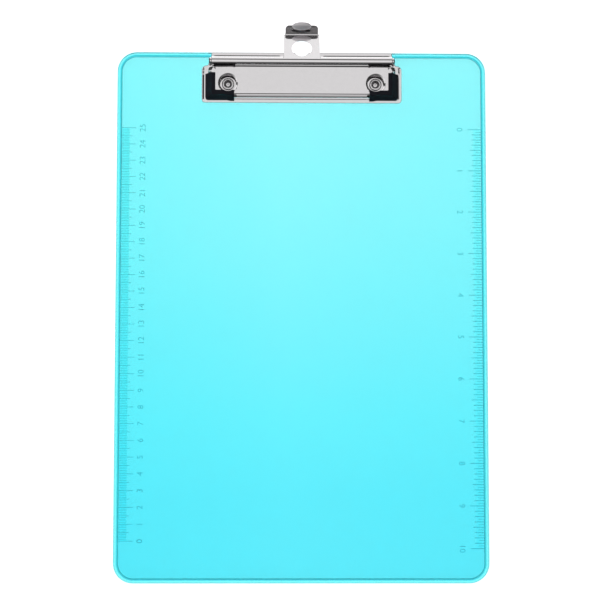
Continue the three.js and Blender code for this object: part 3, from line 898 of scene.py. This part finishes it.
def skirt_faces(bm):
    """The skirt, from the flat face outwards. Gives the vertices along the flat face's edge."""
    edge = jaw_ring(-0.45, 0.0)
    edge[0], edge[-1] = (FACE_END_HALF_WIDTH, *FACE_END), (-FACE_END_HALF_WIDTH, *FACE_END)
    rings = [edge] + [jaw_ring(out, height) for out, height in smooth_curve(LIP_SECTION, 3)]
    rows = [[bm.verts.new(p) for p in ring] for ring in rings]
    for a, b in zip(rows, rows[1:]):
        band(bm, a, b)
    return rows[0]


def barrel_faces(bm, face_edge):
    """The groove and the barrel's top, open at the slots. Gives its first and last rows."""
    front = [bm.verts.new((x, *FACE_END)) for x in BARREL_COLUMNS]
    rows = [[face_edge[-1], *front, face_edge[0]]]
    for y, z, width in barrel_section():
        rows.append([bm.verts.new((x, y, z)) for x in (-width, *BARREL_COLUMNS, width)])
    for a, b in zip(rows, rows[1:]):
        band(bm, a, b, SLOT_COLUMNS if b[0].co.y < SLOT_REAR else ())
    for v in [v for row in rows[1:] for v in row if not v.link_faces]:
        bm.verts.remove(v)
    return rows[0], rows[-1]


def flat_face(bm, face_edge, rear_row):
    """The flat face, which the slots run into, with the access holes."""
    outline = list(face_edge[1:-1])
    for i, v in enumerate(rear_row):
        outline.append(v)
        if i in SLOT_COLUMNS:
            ends = (v.co.x, rear_row[i + 1].co.x)
            outline += [bm.verts.new((x, SLOT_FRONT, JAW_TOP)) for x in ends]
    places = [Matrix.Translation((side * RIVET_X, RIVET_Y, JAW_TOP)) for side in (-1, 1)]
    pierced(bm, outline, [ring_of(bm, DISH_RADIUS - 0.15, place) for place in places])


def roll_faces(bm, row):
    """The rest of the barrel, round the pin."""
    for degrees in range(54, -80, -6):
        y, z = barrel_point(degrees)
        following = [bm.verts.new((v.co.x, y, z)) for v in row]
        band(bm, row, following)
        row = following


def lever_faces(bm, root_row):
    """The lever's plate with its hole, then the fold and the tip."""
    rows = []
    for y, z, width in lever_section():
        rows.append([bm.verts.new((-width, y, z)), bm.verts.new((width, y, z))])
    for a, b in zip(rows, rows[1:]):
        band(bm, a, b)
    root, slope = lever_slope()
    y, z = root[0] + 0.7 * math.cos(slope), root[1] + 0.7 * math.sin(slope)
    near = [bm.verts.new((v.co.x, y, z)) for v in root_row]
    band(bm, root_row, near)
    hole = Matrix.Translation((0, *LEVER_HOLE)) @ Matrix.Rotation(slope, 4, "X")
    pierced(bm, [near[0], *rows[0], near[1]], [ring_of(bm, LEVER_HOLE_RADIUS, hole)])


def jaw_sheet():
    """The outside of the pressed sheet: skirt, flat face, barrel and lever."""
    bm = bmesh.new()
    face_edge = skirt_faces(bm)
    rear_row, top_row = barrel_faces(bm, face_edge)
    flat_face(bm, face_edge, rear_row)
    roll_faces(bm, top_row[LEFT_OF_LEVER])
    roll_faces(bm, top_row[RIGHT_OF_LEVER])
    lever_faces(bm, top_row[LEVER])
    bmesh.ops.recalc_face_normals(bm, faces=bm.faces)
    bm.normal_update()
    widest = max(bm.faces, key=lambda f: f.calc_area() * (abs(f.normal.z) > 0.999))
    if widest.normal.z < 0:  # the sheet is open, so its normals can come out turned round
        bmesh.ops.reverse_faces(bm, faces=bm.faces)
    return bm


def dished_rim(side):
    """The rounded lip of an access hole, drawn down below the jaw's face."""
    outer, inner = DISH_RADIUS, ACCESS_RADIUS
    profile = [
        (outer, JAW_TOP + 0.02), (outer - 0.1, JAW_TOP + 0.01), (outer - 0.2, JAW_TOP - 0.04),
        (inner + 0.14, JAW_TOP - 0.52), (inner + 0.05, JAW_TOP - 0.6), (inner, JAW_TOP - 0.72),
        (inner, JAW_TOP - 1.0), (inner + 0.06, JAW_TOP - 1.1), (inner + 0.3, JAW_TOP - 1.1),
        (outer, JAW_TOP - 0.75),
    ]
    return moved(turned(profile, 72), Matrix.Translation((side * RIVET_X, RIVET_Y, 0)))


def cheek(side):
    """The end of the barrel, with its hole for the pin."""
    bore = PIN_HOLE
    profile = [(bore, -0.4), (2.2, -0.4), (2.3, -0.3), (2.3, 0.3), (2.2, 0.4), (bore, 0.4)]
    return moved(turned(profile, 40), along_hinge(side * (BARREL_HALF_WIDTH - 0.45)))


def make_jaw(material):
    settings = {"thickness": STEEL, "offset": -1.0, "use_even_offset": True}
    bm = through(jaw_sheet(), ("SOLIDIFY", settings), recalc=False)
    bm = edged(bm, 0.12, 60)
    bm = joined(bm, dished_rim(-1), dished_rim(1), cheek(-1), cheek(1))
    return piece("jaw_sheet", bm, material, CLIP, ["clip_jaw"], weighted=True)


def make_thumb_pad(material):
    """The oval pad pressed up in the lever's tip, which stands over its edge."""
    profile = [
        (0.0, 1.3), (0.2, 1.29), (0.4, 1.22), (0.6, 1.05), (0.75, 0.84), (0.88, 0.56), (0.96, 0.28),
        (1.0, 0.0), (1.0, -0.6), (0.96, -0.78), (0.9, -0.84), (0.0, -0.84),
    ]
    oval = moved(turned(profile), Matrix.Diagonal((PAD_HALF_WIDTH, PAD_HALF_LENGTH, 1, 1)))
    tip = Matrix.Translation((0, *LEVER_FOLD)) @ Matrix.Rotation(math.radians(TIP_ANGLE), 4, "X")
    bm = moved(oval, tip @ Matrix.Translation((0, PAD_ALONG, 0)))
    return piece("lever_thumb_pad", bm, material, CLIP)


# ---- Grips, pin, springs, rivets ----


def make_grip(label, material):
    """The CAD grip with its edges rounded off, as moulded rubber has them."""
    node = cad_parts[f"corner_grip_{label}"]
    bm = bmesh.new()
    bm.from_mesh(node.data)
    bm.transform(CLIP_TO_ROW.inverted())
    bmesh.ops.remove_doubles(bm, verts=bm.verts, dist=1e-3)
    bm = through(
        bm,
        ("REMESH", {"mode": "VOXEL", "voxel_size": 0.17}),
        ("SMOOTH", {"factor": 0.5, "iterations": 7}),
    )
    slimmer_front, slimmer_arm = 0.45, 0.5  # as slim as the photo shows them
    for v in bm.verts:
        front = eased((-26.0 - v.co.y) / 3.0) * eased((abs(v.co.x) - 43.0) / 3.0)
        v.co.y += slimmer_front * front
        arm = eased((v.co.y + 24.5) / 0.25) * eased((54.5 - abs(v.co.x)) / 2.5)
        v.co.x += math.copysign(slimmer_arm * arm, v.co.x)
    return piece(f"grip_{label}", bm, material, CLIP, [node.name], sharp=180)


def make_pin(material):
    """The pin, the same at both ends, with a low head outside each ear."""
    half = EAR_NEAR + STEEL + TOUCH
    end = half + PIN_HEAD
    right = [
        (PIN_RADIUS, 0), (PIN_RADIUS, half), (1.45, half), (1.6, half + 0.12), (1.58, half + 0.3),
        (1.3, half + 0.5), (0.7, end), (0, end),
    ]
    profile = [(r, -z) for r, z in reversed(right)] + right[1:]
    bm = moved(turned(profile, 40), along_hinge())
    return piece("pin", bm, material, BASE, ["hinge_pin"])


def make_spring(label, side, material):
    """A close coil round the pin, and the leg that lies forward on the base plate."""
    path = []
    steps = COIL_TURNS * 28
    for i in range(steps + 1):
        share = i / steps
        a = -math.pi / 2 - 2 * math.pi * COIL_TURNS * (1 - share)
        x = COIL_OUTER + (COIL_INNER - COIL_OUTER) * share
        y, z = HINGE_Y + COIL_RADIUS * math.cos(a), HINGE_Z + COIL_RADIUS * math.sin(a)
        path.append((side * x, y, z))
    low = HINGE_Z - COIL_RADIUS
    drop = low - BASE_THICK - SPRING_WIRE / 2 - TOUCH
    for k in range(1, 13):
        t = k / 12
        path.append((side * COIL_INNER, HINGE_Y - SPRING_LEG * t, low - drop * eased(t)))
    bm = tube(path, SPRING_WIRE / 2)
    node = f"torsion_spring_{label}"
    return piece(f"spring_{label}", bm, material, BASE, [node], sharp=60)


def make_rivet(label, side, material):
    """A rivet with a flat head on the base plate, a bore open above, and a clinched end below."""
    seat, foot = BASE_THICK + TOUCH, -SHEET - 0.6
    top = seat + RIVET_HEAD
    profile = [
        (0, foot - 0.5), (2.6, foot - 0.5), (3.2, foot - 0.42), (3.6, foot - 0.25), (3.7, foot - 0.1),
        (3.65, foot), (2.7, foot), (2.7, seat), (3.5, seat), (3.7, seat + 0.15), (3.75, seat + 0.4),
        (3.74, seat + 0.7), (3.66, seat + 0.9), (3.5, top - 0.2), (3.25, top - 0.1), (2.95, top - 0.03),
        (2.7, top), (2.5, top - 0.03), (2.35, top - 0.14), (2.22, top - 0.4), (2.1, top - 0.8),
        (1.45, -0.7), (1.3, -0.9), (1.0, -0.98), (0.5, -0.88), (0, -0.85),
    ]
    bm = moved(turned(profile), Matrix.Translation((side * RIVET_X, RIVET_Y, 0)))
    name, node = f"hollow_rivet_{label}", f"rivet_{label}"
    return piece(name, bm, material, BASE, [node], sharp=50)


def make_washer(label, side, material):
    """The washer between the board's back and a rivet's clinched end."""
    top, low, bore, outer = -SHEET - TOUCH, -SHEET - TOUCH - 0.5, RIVET_HOLE, 5.0
    profile = [
        (bore, low + 0.05), (bore + 0.06, low), (outer - 0.15, low), (outer, low + 0.12),
        (outer, top - 0.08), (outer - 0.1, top), (bore + 0.06, top), (bore, top - 0.05),
    ]
    bm = moved(turned(profile), Matrix.Translation((side * RIVET_X, RIVET_Y, 0)))
    name, node = f"washer_{label}", f"rivet_washer_{label}"
    return piece(name, bm, material, BASE, [node], sharp=50)


# ---- Studio ----


def make_floor():
    """White paper, lit from within so that it stays white under the clear plastic."""
    bm = bmesh.new()
    bmesh.ops.create_grid(bm, x_segments=8, y_segments=8, size=3.0)
    mesh = bpy.data.meshes.new("floor")
    bm.to_mesh(mesh)
    bm.free()
    material, nodes, shader, place = new_material("floor_paper")
    grain = nodes.noise(place, 40.0, 3.0)
    nodes.put(shader.inputs["Base Color"], nodes.mix(grain, (0.93, 0.93, 0.93), (0.9, 0.9, 0.9)))
    shader.inputs["Roughness"].default_value = 0.9
    shader.inputs["Specular IOR Level"].default_value = 0.1
    shader.inputs["Emission Color"].default_value = (1, 1, 1, 1)
    shader.inputs["Emission Strength"].default_value = 0.93
    mesh.materials.append(material)
    floor = bpy.data.objects.new("floor", mesh)
    floor.location = (0, 0, -0.2 * MM)  # clear of the rim's foot
    bpy.context.scene.collection.objects.link(floor)


def make_studio():
    """Pale panels over the object, dark in a gap behind it, low in front and low on the right.

    Levels go by the angle from straight up, in degrees: towards +Y, then towards +X. The panels
    show only in reflections and as light, and the camera sees plain white.
    """
    world = bpy.data.worlds.new("studio")
    bpy.context.scene.world = world
    world.use_nodes = True
    nodes = Nodes(world.node_tree)
    direction = nodes.add("ShaderNodeTexCoord").outputs["Generated"]
    x, y, up = nodes.separate(direction)
    behind = nodes.math("DEGREES", nodes.math("ARCTAN2", y, up))
    aside = nodes.math("DEGREES", nodes.math("ARCTAN2", x, up))

    def share(value):
        return nodes.math("MULTIPLY_ADD", value, 1 / 180, 0.5)

    def grey(stops):
        return [(0.5 + degrees / 180, (level, level, level)) for degrees, level in stops]

    lengthwise = nodes.ramp(share(behind), grey([
        (-90, 0.05), (-50, 0.05), (-40, 0.28), (-30, 0.45), (-14, 0.55), (-4, 0.47), (17, 0.47),
        (19.5, 0.04), (44, 0.04), (48, 0.6), (60, 0.55), (90, 0.6),
    ]))
    crosswise = nodes.ramp(share(aside), grey([
        (-90, 0.4), (-74, 0.45), (-66, 1.0), (30, 1.0), (42, 0.45), (52, 0.06), (90, 0.06),
    ]))
    both = nodes.mix(1.0, lengthwise, crosswise, "MULTIPLY")
    lit = nodes.add("ShaderNodeBackground", {"Color": both, "Strength": 1.65})
    plain = nodes.add("ShaderNodeBackground", {"Color": (1, 1, 1, 1), "Strength": 1.0})
    seen = nodes.add("ShaderNodeLightPath").outputs["Is Camera Ray"]
    mixed = nodes.add("ShaderNodeMixShader", {0: seen, 1: lit.outputs[0], 2: plain.outputs[0]})
    output = nodes.add("ShaderNodeOutputWorld")
    nodes.tree.links.new(mixed.outputs[0], output.inputs["Surface"])


def make_camera():
    """Almost straight above, a little towards the board's foot, so the clip shows at a slight slant."""
    data = bpy.data.cameras.new("camera")
    data.sensor_width = 36.0
    data.lens = 118.1
    data.clip_start, data.clip_end = 0.05, 20.0
    camera = bpy.data.objects.new("camera", data)
    camera.location = (-0.0249, -0.1186, 1.1878)
    camera.rotation_euler = tuple(math.radians(a) for a in (5.70, -1.16, 0.03))
    bpy.context.scene.collection.objects.link(camera)
    bpy.context.scene.camera = camera


# ---- The scene ----

bpy.context.scene.view_settings.view_transform = "Standard"
make_camera()
make_studio()
make_floor()

plastic = acrylic("aqua_plastic", (1.0, 1.0, 1.0))
marks = acrylic("aqua_marks", (0.84, 0.95, 0.97))
chrome = steel("chrome", (0.86, 0.84, 0.85), 0.05)
zinc = steel("zinc_plate", (0.72, 0.7, 0.71), 0.24)
rivet_steel_painted_shade = rivet_metal("rivet_steel_painted_shade", (0.8, 0.78, 0.79))
dome = steel("pressed_dome", (0.84, 0.81, 0.83), 0.58)
wire = steel("spring_wire", (0.09, 0.087, 0.092), 0.4)
black = rubber("black_rubber")

make_board(plastic)
make_rulers(marks)
make_base(chrome)
make_jaw(chrome)
make_thumb_pad(dome)
make_pin(wire)
for label, side in (("left", -1), ("right", 1)):
    make_grip(label, black)
    make_spring(label, side, wire)
    make_rivet(label, side, rivet_steel_painted_shade)
    make_washer(label, side, zinc)
